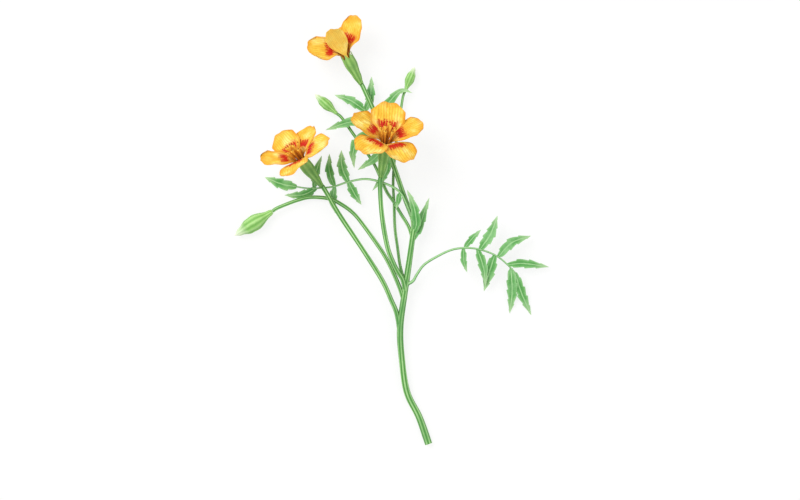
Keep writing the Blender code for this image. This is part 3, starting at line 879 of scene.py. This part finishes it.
def compound_leaf(name, points, leaflets):
    skin = Skin()
    route = smooth_route(points, step=STALK_STEP)
    run = lengths(route)
    radii = [RACHIS_R * (1.0 - RACHIS_TAPER * s / run[-1])
             * (1 + RACHIS_SWELL * math.exp(-s / RACHIS_REACH)) for s in run]
    # painted highlight and shade: the leaf stalk is paler on its upper side and darker underneath
    skin.loft(tube_rings(route, radii, 12),
              lambda i, j: (0.3, 0.0, 0.0, 0.45 + 0.4 * math.cos(math.pi * (j - 3) / 3)))
    for k, (spots, width, teeth) in enumerate(leaflets):
        leaflet(skin, spots, width, teeth, f"{name}{k}")
    skin.piece(f"{name}_feathered", name, "leaf", leaf_green)
    print(f"{name}: {len(leaflets)} leaflets")


# each leaflet: points from the leaf stalk to its tip, width, teeth on each edge
compound_leaf("leaf_right",
              [(-12.5, 92.5, 6.9), (-9, 94.5, 7.6), (-7, 98, 8.2), (-2.5, 104, 9), (6.5, 109.5, 10),
               (13.5, 112.5, 10.4), (20.5, 113.5, 10.4), (27.5, 113, 9.8), (34.5, 111, 8.6),
               (40.5, 108, 7.2), (46, 103.3, 5.6), (50.2, 99, 4.4)],
              [([(20.5, 113.5, 10.4), (25, 119, 10.8), (30, 124, 10.6)], 3.8, 2),
               ([(29.5, 112.7, 9.5), (35.5, 121.5, 10), (39.5, 132, 8.5)], 6.0, 4),
               ([(40, 108.4, 7.3), (48, 116.5, 7.6), (59, 120.5, 5.5)], 5.6, 3),
               ([(45.5, 103.8, 5.8), (55, 104.5, 5.8), (69.5, 102.5, 3.5)], 5.0, 3),
               ([(50, 99.2, 4.4), (53.5, 88, 2.6), (59.5, 74.5, 0.25)], 5.6, 4),
               ([(47.5, 101.8, 5), (48.3, 88, 2.8), (47, 75.5, 0.25)], 6.0, 4),
               ([(38, 109.3, 7.8), (34.5, 98, 6), (32, 88.5, 3.8)], 6.2, 3),
               ([(28, 112.9, 9.6), (31.5, 102, 8.2), (32.8, 92, 6)], 5.2, 3),
               ([(20, 113.5, 10.4), (20.2, 106, 9.4), (22, 99.5, 8)], 3.6, 2)])
compound_leaf("leaf_left",
              [(-10, 132, 7.3), (-12, 137, 9.6), (-14, 141.5, 10), (-16.5, 145.5, 9.9),
               (-21.5, 149, 9.8), (-29.5, 152, 9.4), (-37.5, 153.2, 8), (-47, 151.5, 5.2),
               (-55, 149, 2.4), (-62, 148.3, 1.1), (-69.5, 148, 0.8), (-77, 149, 0.7)],
              [([(-76.5, 149, 0.7), (-85, 150.5, 0.6), (-95, 154.5, 0.5)], 6.0, 3),
               ([(-46.5, 151.6, 5.3), (-50, 160, 5.2), (-50.5, 170, 4)], 5.6, 3),
               ([(-54.5, 149, 2.5), (-57.5, 158, 2.2), (-57.5, 168, 1.4)], 4.6, 2),
               ([(-66.5, 148, 0.8), (-65, 158, 0.7), (-62, 167, 0.5)], 4.4, 2),
               ([(-65, 148.1, 0.8), (-73, 144.3, 0.6), (-83.5, 144, 0.4)], 5.0, 3),
               ([(-54.5, 149, 2.4), (-55.5, 141, 0.9), (-54, 133.5, 0.5)], 4.4, 2),
               ([(-46.5, 151.7, 5.3), (-43, 145, 4.8), (-39, 138.5, 3.6)], 5.0, 3),
               ([(-16.6, 145.6, 9.9), (-17.6, 140.5, 9.6), (-18.8, 136, 9)], 3.2, 1)])
compound_leaf("leaf_upper",
              [(-22.3, 166.5, 6.4), (-24.2, 170.5, 9), (-26.5, 174.5, 9.4), (-29.8, 179.5, 9),
               (-34.2, 187, 7.4), (-37, 193.5, 6.2)],
              [([(-36.6, 192.6, 6.3), (-33.8, 200, 5.6), (-33, 212.5, 4.4)], 5.0, 3),
               ([(-33, 184.9, 7.8), (-27, 193, 5.6), (-16.5, 204, 6.2), (-9.5, 203, 6.8)], 5.2, 3),
               ([(-36.6, 192.6, 6.3), (-45, 198.5, 5.4), (-54.5, 202, 4)], 5.2, 3),
               ([(-33.4, 185.6, 7.7), (-45.5, 186, 8.2), (-59.5, 181.5, 7)], 5.2, 3),
               ([(-29.8, 179.5, 9), (-39.5, 176.5, 8.8), (-43.5, 169, 8.2), (-43, 159.5, 7)], 5.6, 4),
               ([(-25, 172, 9.2), (-32, 164.5, 8.4), (-41, 158.5, 7)], 4.6, 2),
               ([(-24.2, 170.5, 9), (-24.4, 158, 7.6), (-32.5, 146.5, 6.6)], 4.6, 3)])

# %% [markdown]
# ## Small leaves
# At the top node two simple leaves stand beside the branches. Each is one leaflet on its own.

# %% Small leaves at the top node
for name, spots, width, teeth in (
        ("leaf_node_broad", [(-8.9, 122, 7.5), (-7.2, 127.5, 11), (-8.6, 137, 13.4),
                             (-12.5, 147, 13.6)], 5.2, 3),
        ("leaf_node_toothed", [(-9.4, 117.5, 7.4), (-5.4, 125.5, 8), (-3.2, 132.5, 8.4),
                               (0.3, 142.5, 8)], 4.6, 3)):
    skin = Skin()
    leaflet(skin, spots, width, teeth, name)
    skin.piece(f"{name}_blade", name, "leaf", leaf_green)
    print("made:", name)

# %% [markdown]
# ## Table
# The stem lies on a plain white table. The floor is mostly pure white to the camera, and the
# rest of it still takes the light, so it keeps a faint shadow under the flowers.

# %% Table
TABLE_HALF = 3.0                   # metres
WHITE_SHARE = 0.82

floor_data = bpy.data.meshes.new("table")
floor_data.from_pydata([(-TABLE_HALF, -TABLE_HALF, 0), (TABLE_HALF, -TABLE_HALF, 0),
                        (TABLE_HALF, TABLE_HALF, 0), (-TABLE_HALF, TABLE_HALF, 0)], [],
                       [(0, 1, 2, 3)])
floor = bpy.data.objects.new("table", floor_data)
bpy.context.scene.collection.objects.link(floor)
table, tree, shader = start_material("table_paper_white", 0.9)
shader.inputs["Base Color"].default_value = linear("#f4f4f2")
glow = add_node(tree, "Emission", {"Strength": 1.0})
seen = add_node(tree, "LightPath").outputs["Is Camera Ray"]
share = add_node(tree, "Math", {0: seen, 1: WHITE_SHARE}, operation="MULTIPLY").outputs[0]
mixed = add_node(tree, "MixShader", {0: share, 1: shader.outputs[0], 2: glow.outputs[0]})
tree.links.new(mixed.outputs[0], tree.nodes["Material Output"].inputs["Surface"])
floor_data.materials.append(table)
print("table:", 2 * TABLE_HALF, "m square")

# %% [markdown]
# ## Light
# An even white sky fills the shadows. Two large area lamps stand high on either side, the key
# three times as strong as the fill, so that ribs and ruffles read without hard shadows.

# %% Light
SKY_STRENGTH = 0.62

world = bpy.data.worlds.new("even_sky")
bpy.context.scene.world = world
world.use_nodes = True
sky = world.node_tree.nodes["Background"]
sky.inputs["Color"].default_value = (1, 1, 1, 1)
sky.inputs["Strength"].default_value = SKY_STRENGTH
for name, place, watts, size in (("soft_key", (-0.55, 0.45, 0.9), 9.0, 0.7),
                                 ("soft_fill", (0.7, -0.4, 0.8), 3.0, 0.8)):
    lamp = bpy.data.lights.new(name, "AREA")
    lamp.energy, lamp.size = watts, size
    holder = bpy.data.objects.new(name, lamp)
    holder.location = place
    holder.rotation_euler = (-Vector(place)).to_track_quat("-Z", "Y").to_euler()
    bpy.context.scene.collection.objects.link(holder)
    print(name, watts, "W")

# %% [markdown]
# ## Camera
# The camera looks straight down from far enough that the flowers aren't stretched at the edges.
# Its height follows from the lens and from the width of table that it takes in.

# %% Camera
VIEW_WIDTH = 0.464                 # metres of table across the view
LENS, SENSOR = 100.0, 36.0         # mm
AIM = Vector((-0.0166, 0.1123, 0)) # middle of the view, from the cut end

camera_data = bpy.data.cameras.new("camera")
camera_data.lens, camera_data.sensor_width = LENS, SENSOR
camera = bpy.data.objects.new("camera", camera_data)
camera.location = CUT_END + AIM + Vector((0, 0, VIEW_WIDTH * LENS / SENSOR))
bpy.context.scene.collection.objects.link(camera)
bpy.context.scene.camera = camera
bpy.context.scene.view_settings.view_transform = "Standard"
print("camera height:", round(camera.location.z, 2), "m")
